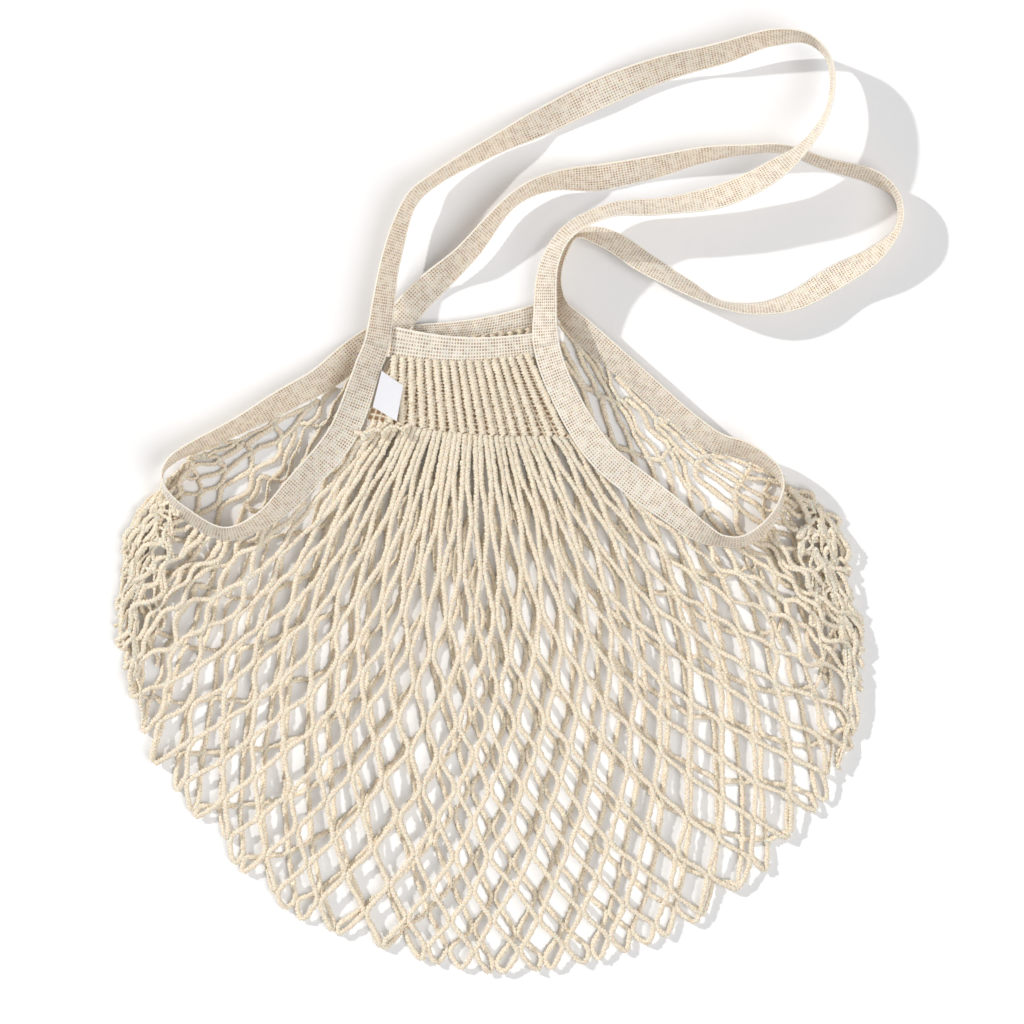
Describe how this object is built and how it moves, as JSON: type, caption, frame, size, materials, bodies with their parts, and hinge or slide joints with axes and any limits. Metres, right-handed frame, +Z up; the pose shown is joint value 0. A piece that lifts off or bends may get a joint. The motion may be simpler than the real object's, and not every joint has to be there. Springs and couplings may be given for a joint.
{
  "type": "string shopping bag",
  "caption": "Cotton net shopping bag lying flat, with two long tape handles, side openings, ribbed yokes and a coarse net body.",
  "frame": {"origin": "on the surface that the bag lies on, under the middle of its bounding box", "axes": "+Z up from the surface to the front of the lying bag, +Y from the bottom of the bag towards its handles, +X to the right seen from the front"},
  "size_m": [0.4702, 0.5632, 0.0365],
  "materials": {
    "tape": "woven cotton tape",
    "string": "knitted cotton string",
    "label": "smooth woven label"
  },
  "bodies": {
    "root": {"front_handle": "tape", "right_opening_tape": "tape", "back_handle": "tape", "left_opening_tape": "tape", "front_band": "tape", "back_band": "tape", "front_yoke": "string", "back_yoke": "string", "net_body": "string", "label": "label"}
  },
  "joints": []
}
